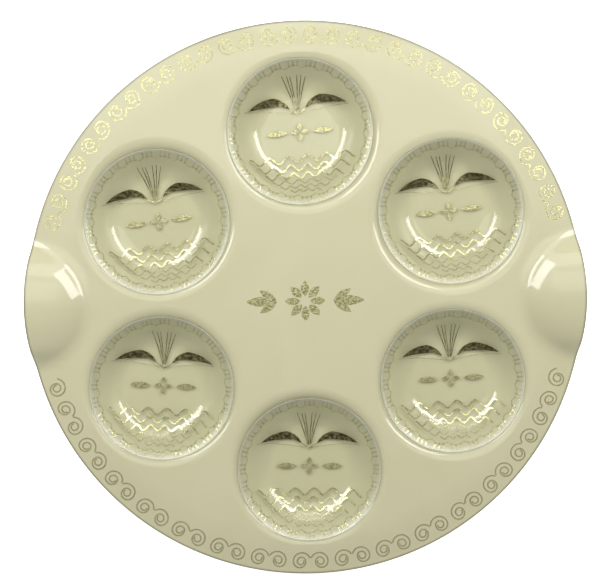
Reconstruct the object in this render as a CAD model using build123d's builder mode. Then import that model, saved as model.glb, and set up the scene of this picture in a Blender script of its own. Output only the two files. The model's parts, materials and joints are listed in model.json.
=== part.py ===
from build123d import *
import os
from math import acos, asin, cos, degrees, radians, sin, sqrt, tan

os.makedirs("parts", exist_ok=True)

# Dish: a clear bowl with a flat foot, a rounded knee, a ball-shaped wall and a flatter band round its rim
DISH_FOOT_R = 18.0
DISH_KNEE_R = 17.0
DISH_BALL_R = 50.0
DISH_WALL_SLOPE = 47.0
DISH_BEND_R = 3.0
DISH_BAND_SLOPE = 25.0
DISH_BAND_LENGTH = 2.95
DISH_WALL = 1.4
DISH_RIM_FILLET = 0.5

# Fit of the dishes in the plate
SEAT_GAP = 0.1
WELL_CLEARANCE = 2.5
RIM_PROUD = 0.5

# Plate: a thin moulding with wells, a border that slopes down outwards and two finger lifts
PLATE_WALL = 2.2
WELL_BALL_R = 53.0
WELL_LIP_R = 9.0
WELL_LIP_CREASE = 0.05
WELL_RIDGE = 1.85
BORDER_WIDTH = 14.8
FLANGE_WIDTH = 21.5
FLANGE_BEND_R = 60.0
FLANGE_SLOPE = 8.0
EDGE_FILLET = 0.7
LIFT_COUNT = 2
LIFT_HEIGHT = 11.5
LIFT_DOME_R = 55.0
LIFT_BLEND_R = 15.0

# Dishes clockwise from the top: name, turn in its well, slide off the well's centre in clearances
DISHES = [
    ("top", 4.8, (-0.4, 0.0)),
    ("upper_right", 5.8, (0.16, 0.48)),
    ("lower_right", 2.3, (0.08, 0.16)),
    ("bottom", -1.2, (0.16, -0.4)),
    ("lower_left", -4.1, (0.0, -0.16)),
    ("upper_left", 7.0, (0.0, -0.52)),
]

# Foil: a thin layer that stands just off the surface that carries it
FOIL_THICKNESS = 0.12
FOIL_LIFT = 0.02

# Scrolls on the border: mirrored spirals of shrinking half turns, which meet in a cusp
SCROLL_INSET = 8.1
SCROLL_TURNS = [4.6, 2.8, 1.95, 1.2]
SCROLL_LEAN = 20.0
SCROLL_CUSP = (-1.0, 0.3)
SCROLL_LINE = 1.2
SCROLL_PITCH = 360 / 39
UPPER_SCROLLS = 16
LOWER_SCROLLS = 15

# Ornament in the middle of the deck: a flower between two sprays of leaves
FLOWER_PETALS = 8
FLOWER_PETAL = (8.5, 4.4)
FLOWER_EYE_R = 2.6
SPRAY_LEAF = (17.0, 5.4)
SPRAY_SIDE_LEAF = (11.5, 4.0)
SPRAY_START = 15.5
SPRAY_SPREAD = 34.0

# Sprig on a dish, in the dish's own frame with its top towards +Y
SPRIG_BASE = (0.0, 9.9)
LEAF_HEEL = (4.1, 12.5)
LEAF_RISE = (7.8, 17.3)
LEAF_CROWN = (12.9, 19.6)
LEAF_TIP = (27.0, 13.6)
LEAF_BELLY = (16.9, 14.8)
LEAF_NECK = (8.6, 14.9)
STEM_LINE = 0.7
BLADE_TOPS = [(-6.9, 31.0), (-4.2, 30.5), (-2.4, 30.5), (1.5, 30.9), (3.7, 30.7), (6.0, 29.7)]
BLADE_LINE = 0.55
TENDRIL_TIPS = [(-29.2, 13.2), (27.8, 12.7)]
TENDRIL_LINE = 0.4

# Row of marks under the sprig: a small flower between two leaves
MARK_ROW_Y = 0.0
MARK_PETALS = 4
MARK_PETAL = (4.2, 2.4)
MARK_EYE_R = 0.8
MARK_LEAF = (11.5, 3.2)
MARK_LEAF_START = 7.0

# Wavy lines below the row: height of the middle line, wavelength, half height
WAVES = [
    (-14.6, 10.5, 1.9),
    (-19.2, 9.3, 1.7),
    (-23.6, 7.8, 1.45),
    (-27.0, 7.2, 1.0),
    (-29.7, 5.5, 0.75),
    (-32.0, 4.8, 0.6),
]
WAVE_LINE = 0.8
WAVE_BEND_R = 1.0
WAVE_MARGIN = 6.8

# Lace border of scallops, set in from the dish's rim
SCALLOPS = 24
SCALLOP_TIP_INSET = 5.6
SCALLOP_CREST_INSET = 4.0
SCALLOP_LINE = 0.6

# Room that the cutting shapes leave past the faces that they cut
CUT_ROOM = 5.0


def knee_slope(floor_r, ball_r):
    """Slope at which a knee round a flat floor runs into a ball about the same axis."""
    return degrees(asin(floor_r / (ball_r - DISH_KNEE_R)))


def dish_profile(depth):
    """Profile of the dish at a depth in from its outside, from its axis out to its rim."""
    turn = knee_slope(DISH_FOOT_R, DISH_BALL_R)
    with BuildLine() as profile:
        foot = Line((0, depth), (DISH_FOOT_R, depth))
        knee = JernArc(foot @ 1, foot % 1, DISH_KNEE_R - depth, turn)
        wall = JernArc(knee @ 1, knee % 1, DISH_BALL_R - depth, DISH_WALL_SLOPE - turn)
        bend = JernArc(wall @ 1, wall % 1, DISH_BEND_R + depth, DISH_BAND_SLOPE - DISH_WALL_SLOPE)
        Line(bend @ 1, bend @ 1 + DISH_BAND_LENGTH * (bend % 1))
    return profile.line


def dish_room(depth):
    """Room above the dish's profile at a depth, closed past the rim."""
    profile = dish_profile(depth)
    axis_end = profile @ 0
    rim_end = profile @ 1
    room_top = rim_end.Y + CUT_ROOM
    with BuildPart() as room:
        with BuildSketch(Plane.XZ):
            with BuildLine():
                add(profile)
                Polyline(rim_end, (rim_end.X, room_top), (axis_end.X, room_top), axis_end)
            make_face()
        revolve(axis=Axis.Z)
    return room.part


# One dish, standing on the origin
with BuildPart() as dish:
    with BuildSketch(Plane.XZ):
        with BuildLine():
            add(dish_profile(0))
            offset(amount=DISH_WALL, side=Side.LEFT)
        make_face()
    revolve(axis=Axis.Z)
    dish_rings = dish.edges().filter_by(lambda edge: edge.is_closed)
    fillet(dish_rings.sort_by(SortBy.RADIUS)[-2:], radius=DISH_RIM_FILLET)

DISH_RIM_R = dish.part.bounding_box().max.X
DISH_HEIGHT = dish.part.bounding_box().max.Z

# Heights of the plate, from the undersides of its wells
WELL_FLOOR_Z = PLATE_WALL
DISH_SEAT_Z = WELL_FLOOR_Z + SEAT_GAP
DECK_Z = DISH_SEAT_Z + DISH_HEIGHT - RIM_PROUD

# A well follows the dish with some clearance, and its ball-shaped wall rolls over a lip into the deck
WELL_FLOOR_R = DISH_FOOT_R + WELL_CLEARANCE
WELL_KNEE_SLOPE = knee_slope(WELL_FLOOR_R, WELL_BALL_R)
WELL_BALL_Z = WELL_FLOOR_Z + DISH_KNEE_R + (WELL_BALL_R - DISH_KNEE_R) * cos(radians(WELL_KNEE_SLOPE))
WELL_LIP_Z = DECK_Z + WELL_LIP_CREASE - WELL_LIP_R
WELL_SLOPE = degrees(acos((WELL_BALL_Z - WELL_LIP_Z) / (WELL_BALL_R + WELL_LIP_R)))
WELL_MOUTH_R = (WELL_BALL_R + WELL_LIP_R) * sin(radians(WELL_SLOPE))

# The wells stand round the middle with a narrow ridge between neighbours
WELL_PITCH = 360 / len(DISHES)
WELL_RING_R = (WELL_MOUTH_R + WELL_RIDGE / 2) / sin(radians(WELL_PITCH / 2))
PLATE_R = WELL_RING_R + WELL_MOUTH_R + BORDER_WIDTH
DECK_R = PLATE_R - FLANGE_WIDTH

# A finger lift is the top of a large ball at the plate's edge
LIFT_CENTRE = (PLATE_R, 0, DECK_Z + LIFT_HEIGHT - LIFT_DOME_R)
LIFT_HOLLOW_Z = DECK_Z - PLATE_WALL - FLANGE_WIDTH * sin(radians(FLANGE_SLOPE))


def plate_layer(depth, thickness):
    """Section of a layer of the deck and border that starts at a depth below their upper side."""
    with BuildSketch(Plane.XZ) as section:
        with BuildLine():
            deck = Line((0, DECK_Z - depth), (DECK_R, DECK_Z - depth))
            bend = JernArc(deck @ 1, deck % 1, FLANGE_BEND_R - depth, -FLANGE_SLOPE)
            Line(bend @ 1, bend @ 1 + FLANGE_WIDTH * (bend % 1))
            offset(amount=thickness, side=Side.RIGHT)
        make_face()
    return section.sketch


def well_section(depth, height):
    """Section of a well down to a depth below its upper side, closed at a height above its lip."""
    with BuildSketch(Plane.XZ) as section:
        with BuildLine():
            floor = Line((0, WELL_FLOOR_Z - depth), (WELL_FLOOR_R, WELL_FLOOR_Z - depth))
            knee = JernArc(floor @ 1, floor % 1, DISH_KNEE_R + depth, WELL_KNEE_SLOPE)
            wall = JernArc(knee @ 1, knee % 1, WELL_BALL_R + depth, WELL_SLOPE - WELL_KNEE_SLOPE)
            lip = JernArc(wall @ 1, wall % 1, WELL_LIP_R - depth, -WELL_SLOPE)
            edge = Line(lip @ 1, lip @ 1 + (0, height))
            Polyline(edge @ 1, (0, (edge @ 1).Y), floor @ 0)
        make_face()
    return section.sketch


with BuildPart() as well_body:
    add(well_section(PLATE_WALL, PLATE_WALL / 2))
    revolve(axis=Axis.Z)

with BuildPart() as well_hollow:
    add(well_section(0, CUT_ROOM))
    revolve(axis=Axis.Z)

# The dome starts halfway into the wall of the deck and border, so that it follows their slope
with BuildPart() as lift_dome:
    add(plate_layer(-LIFT_HEIGHT - CUT_ROOM, LIFT_HEIGHT + CUT_ROOM + PLATE_WALL / 2))
    revolve(axis=Axis.Z)
    with Locations(LIFT_CENTRE):
        Sphere(LIFT_DOME_R, mode=Mode.INTERSECT)

with BuildPart() as lift_hollow:
    with Locations(LIFT_CENTRE):
        Sphere(LIFT_DOME_R - PLATE_WALL)
    split(bisect_by=Plane.XY.offset(LIFT_HOLLOW_Z), keep=Keep.TOP)

# Plate: deck and border, finger lifts, trimmed outline with a rounded edge, then the wells
with BuildPart() as plate:
    add(plate_layer(0, PLATE_WALL))
    revolve(axis=Axis.Z)
    with PolarLocations(0, LIFT_COUNT):
        add(lift_dome.part)
        add(lift_hollow.part, mode=Mode.SUBTRACT)
    with BuildSketch():
        Circle(PLATE_R)
    extrude(amount=DECK_Z + LIFT_HEIGHT + CUT_ROOM, mode=Mode.INTERSECT)
    outline_edges = plate.faces().filter_by(GeomType.CYLINDER).edges()
    dome_faces = plate.faces().filter_by(GeomType.SPHERE).filter_by(lambda face: face.normal_at().Z > 0)
    fillet(dome_faces.edges() - outline_edges, radius=LIFT_BLEND_R)
    outline_edges = plate.faces().filter_by(GeomType.CYLINDER).edges()
    fillet(outline_edges - outline_edges.filter_by(GeomType.LINE), radius=EDGE_FILLET)
    with PolarLocations(WELL_RING_R, len(DISHES), start_angle=90):
        add(well_body.part)
        add(well_hollow.part, mode=Mode.SUBTRACT)

plate.part.label = "plate"
export_step(plate.part, "parts/plate.step")


def leaf_outline(length, width):
    """Pointed leaf along +X from the origin, bounded by two arcs."""
    with BuildSketch() as outline:
        with BuildLine():
            ThreePointArc((0, 0), (length / 2, width / 2), (length, 0))
            ThreePointArc((length, 0), (length / 2, -width / 2), (0, 0))
        make_face()
    return outline.sketch


def flower_outline(petals, petal, eye_r):
    """Flower of pointed petals round an open eye."""
    with BuildSketch() as outline:
        with PolarLocations(eye_r, petals):
            add(leaf_outline(*petal))
    return outline.sketch


def scroll_outline():
    """One spiral of the border, with +X away from the plate's middle."""
    lean = radians(SCROLL_LEAN)
    with BuildSketch() as outline:
        with BuildLine():
            end = Vector(*SCROLL_CUSP)
            heading = Vector(-cos(lean), sin(lean))
            for radius in SCROLL_TURNS:
                turn = JernArc(end, heading, radius, -180)
                end = turn @ 1
                heading = turn % 1
        trace(line_width=SCROLL_LINE)
    return outline.sketch


# One spiral lies flat on the border's slope
BORDER_LEAN = radians(FLANGE_SLOPE)
SCROLL_RING_R = PLATE_R - SCROLL_INSET
BORDER_START_R = DECK_R + FLANGE_BEND_R * sin(BORDER_LEAN)
BORDER_START_Z = DECK_Z - FLANGE_BEND_R * (1 - cos(BORDER_LEAN))
SCROLL_Z = BORDER_START_Z - (SCROLL_RING_R - BORDER_START_R) * tan(BORDER_LEAN)
border_plane = Plane(
    origin=(SCROLL_RING_R, 0, SCROLL_Z),
    x_dir=(cos(BORDER_LEAN), 0, -sin(BORDER_LEAN)),
    z_dir=(sin(BORDER_LEAN), 0, cos(BORDER_LEAN)),
)

with BuildPart() as spiral:
    with BuildSketch(border_plane.offset(FOIL_LIFT)):
        add(scroll_outline())
    extrude(amount=FOIL_THICKNESS)

with BuildPart() as mirrored_spiral:
    add(mirror(spiral.part, about=Plane.XZ))

# Rows of scroll pairs along the border, the lower one with a single spiral past each end
UPPER_SPAN = SCROLL_PITCH * (UPPER_SCROLLS - 1)
LOWER_SPAN = SCROLL_PITCH * (LOWER_SCROLLS - 1)

with BuildPart() as upper_rim_foil:
    with PolarLocations(0, UPPER_SCROLLS, 90 - UPPER_SPAN / 2, UPPER_SPAN, endpoint=True):
        add(spiral.part)
        add(mirrored_spiral.part)

with BuildPart() as lower_rim_foil:
    with PolarLocations(0, LOWER_SCROLLS, -90 - LOWER_SPAN / 2, LOWER_SPAN, endpoint=True):
        add(spiral.part)
        add(mirrored_spiral.part)
    with PolarLocations(0, 1, -90 - LOWER_SPAN / 2 - SCROLL_PITCH):
        add(spiral.part)
    with PolarLocations(0, 1, -90 + LOWER_SPAN / 2 + SCROLL_PITCH):
        add(mirrored_spiral.part)

upper_rim_foil.part.label = "upper_rim_foil"
export_step(upper_rim_foil.part, "parts/upper_rim_foil.step")

lower_rim_foil.part.label = "lower_rim_foil"
export_step(lower_rim_foil.part, "parts/lower_rim_foil.step")

# Ornament in the middle of the deck
with BuildPart() as centre_foil:
    with BuildSketch(Plane.XY.offset(DECK_Z + FOIL_LIFT)):
        add(flower_outline(FLOWER_PETALS, FLOWER_PETAL, FLOWER_EYE_R))
        with PolarLocations(SPRAY_START, 2):
            add(leaf_outline(*SPRAY_LEAF))
            add(leaf_outline(*SPRAY_SIDE_LEAF).rotate(Axis.Z, SPRAY_SPREAD))
            add(leaf_outline(*SPRAY_SIDE_LEAF).rotate(Axis.Z, -SPRAY_SPREAD))
    extrude(amount=FOIL_THICKNESS)

centre_foil.part.label = "centre_foil"
export_step(centre_foil.part, "parts/centre_foil.step")


def stroke(start, end, width):
    """Straight stroke of the foil from one point to another."""
    with BuildSketch() as outline:
        with BuildLine():
            Line(start, end)
        trace(line_width=width)
    return outline.sketch


# Foil outlines of a dish: sprig, row of marks, wavy lines and lace border
with BuildSketch() as sprig:
    with BuildLine():
        rise = ThreePointArc(LEAF_HEEL, LEAF_RISE, LEAF_CROWN)
        fall = TangentArc(rise @ 1, LEAF_TIP, tangent=rise % 1)
        ThreePointArc(fall @ 1, LEAF_BELLY, LEAF_NECK)
        Line(LEAF_NECK, LEAF_HEEL)
    make_face()
    add(stroke(SPRIG_BASE, LEAF_NECK, STEM_LINE))
    mirror(about=Plane.YZ)
    for blade_top in BLADE_TOPS:
        add(stroke(SPRIG_BASE, blade_top, BLADE_LINE))
    for tendril_tip in TENDRIL_TIPS:
        add(stroke(SPRIG_BASE, tendril_tip, TENDRIL_LINE))

with BuildSketch() as marks:
    with Locations((0, MARK_ROW_Y)):
        add(flower_outline(MARK_PETALS, MARK_PETAL, MARK_EYE_R))
        with PolarLocations(MARK_LEAF_START, 2):
            add(leaf_outline(*MARK_LEAF))

with BuildSketch() as waves:
    for middle_y, wavelength, half_height in WAVES:
        chord = 2 * sqrt((DISH_RIM_R - WAVE_MARGIN) ** 2 - middle_y**2)
        strokes = int(2 * chord / wavelength)
        start_x = -strokes * wavelength / 4
        zigzag = [
            (start_x + corner * wavelength / 2, middle_y + half_height * (-1) ** corner)
            for corner in range(strokes + 1)
        ]
        with BuildLine():
            FilletPolyline(*zigzag, radius=WAVE_BEND_R)
        trace(line_width=WAVE_LINE)

with BuildSketch() as scallop:
    tip_r = DISH_RIM_R - SCALLOP_TIP_INSET
    crest_r = DISH_RIM_R - SCALLOP_CREST_INSET
    half_turn = radians(180 / SCALLOPS)
    tip_x = tip_r * cos(half_turn)
    tip_y = tip_r * sin(half_turn)
    with BuildLine():
        ThreePointArc((tip_x, -tip_y), (crest_r, 0), (tip_x, tip_y))
    trace(line_width=SCALLOP_LINE)

with BuildSketch() as ornament:
    add([sprig.sketch, marks.sketch, waves.sketch])
    with PolarLocations(0, SCALLOPS):
        add(scallop.sketch)

# One dish's foil, on the inside of a dish that stands on the origin
FOIL_DEPTH = DISH_WALL + FOIL_LIFT
with BuildPart() as dish_foil:
    extrude(ornament.sketch, amount=DISH_HEIGHT + CUT_ROOM)
    add(dish_room(FOIL_DEPTH), mode=Mode.INTERSECT)
    add(dish_room(FOIL_DEPTH + FOIL_THICKNESS), mode=Mode.SUBTRACT)

# Each dish in its well, with its foil
for place, (name, turn, (slide_x, slide_y)) in enumerate(DISHES):
    bearing = radians(90 - place * WELL_PITCH)
    seat_x = WELL_RING_R * cos(bearing) + slide_x * WELL_CLEARANCE
    seat_y = WELL_RING_R * sin(bearing) + slide_y * WELL_CLEARANCE
    seat = Location((seat_x, seat_y, DISH_SEAT_Z), (0, 0, turn))
    for shape, node in ((dish, f"{name}_dish"), (dish_foil, f"{name}_dish_foil")):
        with BuildPart() as placed:
            with Locations(seat):
                add(shape.part)
        placed.part.label = node
        export_step(placed.part, f"parts/{node}.step")
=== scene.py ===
import json
import logging
import math
from dataclasses import dataclass, field
from enum import Enum
from typing import Callable, Iterable, Optional, Sequence, Union

import bpy
import numpy as np
from mathutils import Matrix, Vector


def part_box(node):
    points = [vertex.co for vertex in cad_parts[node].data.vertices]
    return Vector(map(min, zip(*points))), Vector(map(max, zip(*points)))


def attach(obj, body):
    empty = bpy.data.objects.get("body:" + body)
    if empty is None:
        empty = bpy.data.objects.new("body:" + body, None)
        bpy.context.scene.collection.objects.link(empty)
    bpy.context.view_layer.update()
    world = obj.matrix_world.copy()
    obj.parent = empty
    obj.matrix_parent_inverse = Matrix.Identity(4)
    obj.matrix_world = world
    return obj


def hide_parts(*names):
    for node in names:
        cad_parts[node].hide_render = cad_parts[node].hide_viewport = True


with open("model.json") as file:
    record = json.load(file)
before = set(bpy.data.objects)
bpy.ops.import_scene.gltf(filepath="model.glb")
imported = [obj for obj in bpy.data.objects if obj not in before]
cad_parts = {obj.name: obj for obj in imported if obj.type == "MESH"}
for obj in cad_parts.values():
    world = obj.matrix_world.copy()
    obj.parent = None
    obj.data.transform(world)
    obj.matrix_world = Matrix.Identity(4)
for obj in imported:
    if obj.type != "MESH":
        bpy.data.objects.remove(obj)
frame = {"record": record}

log = logging.getLogger("seder_plate")

MM = 0.001
PHOTO_WIDTH = 600
PHOTO_HEIGHT = 588

# Height of the foil over its carrier in the scene and in the solids, in mm.
FOIL_STANDOFF = 0.06
FOIL_LIFT = 0.02
# The strips of a foil take turns on a few layers, this far apart in mm.
FOIL_STEP = 0.005
FOIL_LAYERS = 6
# Largest turn between two points of a carrying surface, in degrees.
FINE_STEP = 0.25
# Mean of a random pattern.
MEAN = 0.5
# Turn of each dish in its well, in degrees.
DISH_TURNS = {
    "top_dish": 4.8,
    "upper_right_dish": 5.8,
    "lower_right_dish": 2.3,
    "bottom_dish": -1.2,
    "lower_left_dish": -4.1,
    "upper_left_dish": 7.0,
}

Points = np.ndarray
Surface = Callable[[np.ndarray, np.ndarray], np.ndarray]
Number = Union[int, float]
Pair = tuple[float, float]
Triple = tuple[float, float, float]
Colour = tuple[float, float, float, float]
Owner = Union[bpy.types.Material, bpy.types.World]

WHITE: Colour = (1.0, 1.0, 1.0, 1.0)


class Slot(Enum):
    """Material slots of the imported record."""

    PLATE = "pearl_plastic"
    DISH = "clear_plastic"
    FOIL = "gold_foil"


def srgb(red: int, green: int, blue: int) -> Colour:
    """Turns an 8-bit display colour into a linear one.

    Args:
        red: Red from 0 to 255.
        green: Green from 0 to 255.
        blue: Blue from 0 to 255.

    Returns:
        The linear colour, opaque.
    """
    shares = [channel / 255 for channel in (red, green, blue)]
    linear = [s / 12.92 if s <= 0.04045 else ((s + 0.055) / 1.055) ** 2.4 for s in shares]
    return (*linear, 1.0)


class Wire:
    """Output of a shader node, which can be used in sums."""

    def __init__(self, recipe: "Recipe", socket: bpy.types.NodeSocket) -> None:
        """Keeps the recipe and the socket."""
        self.recipe = recipe
        self.socket = socket

    def _math(self, operation: str, first: "Term", second: "Term") -> "Wire":
        """Adds a Math node on two terms."""
        return self.recipe.node("ShaderNodeMath", {"operation": operation}, {0: first, 1: second})

    def __add__(self, other: "Term") -> "Wire":
        """Returns self + other."""
        return self._math("ADD", self, other)

    __radd__ = __add__

    def __sub__(self, other: "Term") -> "Wire":
        """Returns self - other."""
        return self._math("SUBTRACT", self, other)

    def __rsub__(self, other: "Term") -> "Wire":
        """Returns other - self."""
        return self._math("SUBTRACT", other, self)

    def __mul__(self, other: "Term") -> "Wire":
        """Returns self * other."""
        return self._math("MULTIPLY", self, other)

    __rmul__ = __mul__

    def between(self, low: float, high: float) -> "Wire":
        """Smooth step from 0 at low to 1 at high.

        Args:
            low: Value at which the step starts.
            high: Value at which the step ends.

        Returns:
            The step as a wire.
        """
        settings = {"interpolation_type": "SMOOTHSTEP"}
        sockets = {"Value": self, "From Min": low, "From Max": high}
        return self.recipe.node("ShaderNodeMapRange", settings, sockets)


Term = Union[Wire, Number, Sequence[float]]


@dataclass(frozen=True)
class Pattern:
    """Soft random pattern.

    Attributes:
        size: Size of its spots, in metres.
        detail: Number of finer layers.
        twist: How much it is drawn into swirls.
    """

    size: float
    detail: float
    twist: float = 0.0


@dataclass(frozen=True)
class Relief:
    """Height of a fine unevenness.

    Attributes:
        depth: Height of its full range, in metres.
        strength: Strength of its effect.
    """

    depth: float
    strength: float


class Recipe:
    """Shader nodes of a material or of the world."""

    def __init__(self, owner: Owner) -> None:
        """Empties the owner's node tree.

        Args:
            owner: Material or world that the nodes belong to.
        """
        owner.use_nodes = True
        self.owner = owner
        self.tree = owner.node_tree
        self.tree.nodes.clear()

    def add(self, kind: str, settings: Optional[dict] = None,
            sockets: Optional[dict] = None) -> bpy.types.Node:
        """Adds one node.

        Args:
            kind: Blender's type name of the node.
            settings: Properties to set before any socket.
            sockets: Wires or constants by socket name or number.

        Returns:
            The node.
        """
        made = self.tree.nodes.new(kind)
        for name, value in (settings or {}).items():
            setattr(made, name, value)
        for name, value in (sockets or {}).items():
            if isinstance(value, Wire):
                self.tree.links.new(value.socket, made.inputs[name])
            else:
                made.inputs[name].default_value = value
        return made

    def node(self, kind: str, settings: Optional[dict] = None, sockets: Optional[dict] = None,
             output: Union[int, str] = 0) -> Wire:
        """Adds one node and returns one of its outputs.

        Args:
            kind: Blender's type name of the node.
            settings: Properties to set before any socket.
            sockets: Wires or constants by socket name or number.
            output: Name or number of the output.

        Returns:
            The chosen output.
        """
        return Wire(self, self.add(kind, settings, sockets).outputs[output])

    def place(self) -> Wire:
        """Position on the object in the shared frame, in metres."""
        return self.node("ShaderNodeTexCoord", output="Object")

    def mark(self, name: str) -> Wire:
        """Share that the mesh carries at its corners under a name."""
        return self.node("ShaderNodeAttribute", {"attribute_name": name}, output="Fac")

    def noise(self, place: Wire, pattern: Pattern) -> Wire:
        """Draws a random pattern.

        Args:
            place: Position that the pattern reads.
            pattern: Its size and kind.

        Returns:
            The pattern from 0 to 1.
        """
        scale, detail, twist = 1 / pattern.size, pattern.detail, pattern.twist
        sockets = {"Vector": place, "Scale": scale, "Detail": detail, "Distortion": twist}
        return self.node("ShaderNodeTexNoise", None, sockets)

    def mix(self, share: Wire, first: Term, second: Term) -> Wire:
        """Mixes two colours.

        Args:
            share: Share of the second colour.
            first: First colour.
            second: Second colour.

        Returns:
            The mixed colour.
        """
        return self.node("ShaderNodeMix", {"data_type": "RGBA"}, {0: share, 6: first, 7: second}, 2)

    def bump(self, height: Wire, relief: Relief) -> Wire:
        """Turns a height pattern into a normal.

        Args:
            height: Pattern from 0 to 1.
            relief: Its height and strength.

        Returns:
            The bent normal.
        """
        sockets = {"Height": height, "Distance": relief.depth, "Strength": relief.strength}
        return self.node("ShaderNodeBump", None, sockets)

    def close(self, shader: Wire, end: str = "ShaderNodeOutputMaterial") -> Owner:
        """Connects a shader to the output and returns the finished owner."""
        self.add(end, None, {"Surface": shader})
        return self.owner

    def finish(self, sockets: dict) -> bpy.types.Material:
        """Closes a material with a Principled shader of the given sockets and returns it."""
        return self.close(self.node("ShaderNodeBsdfPrincipled", None, sockets))


@dataclass(frozen=True)
class PearlPlastic:
    """Glossy cream plastic with a faint pearly swirl, satin in the wells, with painted shade along its
    outline.

    Attributes:
        light: Light colour of the swirl.
        deep: Deep colour of the swirl.
        edge: Darker colour painted along the plate's rounded outline as shade.
        swirl: Pattern of the swirl.
        flecks: Pattern of pearly flecks.
        smears: Pattern of duller smears.
        ripple: Pattern of the uneven surface.
        relief: Height of the ripple.
        swirl_share: Share of the swirl in the colour.
        fleck_share: Share of the flecks in the colour.
        roughness: Mean roughness under the clear surface.
        smear_rough: Share of the smears in the roughness.
        fleck_rough: Share of the flecks in the roughness.
        specular: Specular level under the clear surface.
        coat_rough: Roughness of the clear surface.
        satin: Share of the clear surface that the wells lack.
    """

    light: Colour = srgb(207, 203, 168)
    deep: Colour = srgb(199, 195, 158)
    # Painted shade: the rounded outline is darkened to this colour.
    edge: Colour = srgb(92, 87, 56)
    swirl: Pattern = Pattern(0.09, 4.0, 1.6)
    flecks: Pattern = Pattern(0.0012, 3.0)
    smears: Pattern = Pattern(0.022, 5.0, 0.8)
    ripple: Pattern = Pattern(0.006, 3.0)
    relief: Relief = Relief(0.0003, 0.05)
    swirl_share: float = 1.3
    fleck_share: float = 0.35
    roughness: float = 0.3
    smear_rough: float = 0.1
    fleck_rough: float = 0.04
    specular: float = 0.3
    coat_rough: float = 0.04
    satin: float = 0.85

    def material(self) -> bpy.types.Material:
        """Builds the material.

        Returns:
            The material.
        """
        recipe = Recipe(bpy.data.materials.new("pearl_plastic"))
        place = recipe.place()
        swirl = recipe.noise(place, self.swirl) - MEAN
        flecks = recipe.noise(place, self.flecks) - MEAN
        smears = recipe.noise(place, self.smears) - MEAN
        share = swirl * self.swirl_share + flecks * self.fleck_share + MEAN
        colour = recipe.mix(share, self.light, self.deep)
        return recipe.finish({
            # The edge mark paints shade along the rounded outline.
            "Base Color": recipe.mix(recipe.mark("edge"), colour, self.edge),
            "Roughness": self.roughness + self.smear_rough * smears + self.fleck_rough * flecks,
            "Specular IOR Level": self.specular,
            "Coat Weight": 1.0 - self.satin * recipe.mark("well"),
            "Coat Roughness": self.coat_rough,
            "Normal": recipe.bump(recipe.noise(place, self.ripple), self.relief),
        })


@dataclass(frozen=True)
class ClearPlastic:
    """Clear plastic with the faintest green tint, light handling marks and painted shade along its rim.

    Attributes:
        tint: Colour of the clean plastic, seen through.
        haze: Colour where it is handled.
        rim: Darker green along the thick rim, painted shade that draws a dark outline round the dish,
            partly the green of thick plastic seen edge on.
        rim_shade_facing: Slant at which the rim's painted shade starts, and at which it is full.
        handling: Pattern of the handling marks.
        ripple: Pattern of the uneven surface.
        relief: Height of the ripple.
        blend: Balance of the slant, where 0.5 is even.
        facing_gloss: Share of mirror light seen straight on.
        rim_gloss: More of it on the rim.
        edge_gloss: More of it at the steepest slant.
        roughness: Roughness of the clean plastic.
        mark_rough: More of it where it is handled.
        rib_rough: More of it on the ribbed band.
    """

    tint: Colour = (0.995, 1.0, 0.99, 1.0)
    haze: Colour = (0.985, 0.99, 0.975, 1.0)
    # Painted shade: the rim is darkened to this tint where it is seen steeply.
    rim: Colour = (0.5, 0.55, 0.45, 1.0)
    rim_shade_facing: Pair = (0.42, 0.6)
    handling: Pattern = Pattern(0.012, 4.0, 0.6)
    ripple: Pattern = Pattern(0.008, 2.0)
    relief: Relief = Relief(0.0002, 0.04)
    blend: float = 0.5
    facing_gloss: float = 0.034
    rim_gloss: float = 0.13
    edge_gloss: float = 0.75
    roughness: float = 0.04
    mark_rough: float = 0.05
    rib_rough: float = 0.4

    def material(self) -> bpy.types.Material:
        """Builds the material.

        Returns:
            The material.
        """
        recipe = Recipe(bpy.data.materials.new("clear_plastic"))
        place = recipe.place()
        marks = recipe.noise(place, self.handling)
        slant = recipe.node("ShaderNodeLayerWeight", None, {"Blend": self.blend}, "Facing")
        rim = recipe.mark("rim")
        body = recipe.mix(marks, self.tint, self.haze)
        # Painted shade along the rim, darker where it is seen steeply.
        colour = recipe.mix(rim * slant.between(*self.rim_shade_facing), body, self.rim)
        through = recipe.node("ShaderNodeBsdfTransparent", None, {"Color": colour})
        gloss = recipe.node("ShaderNodeBsdfPrincipled", None, {
            "Base Color": WHITE,
            "Metallic": 1.0,
            "Roughness": self.roughness + self.mark_rough * marks + self.rib_rough * recipe.mark("ribbed"),
            "Normal": recipe.bump(recipe.noise(place, self.ripple), self.relief),
        })
        steep = slant * slant * slant * slant
        share = self.facing_gloss + self.rim_gloss * rim + self.edge_gloss * steep
        return recipe.close(recipe.node("ShaderNodeMixShader", None, {0: share, 1: through, 2: gloss}))


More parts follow.
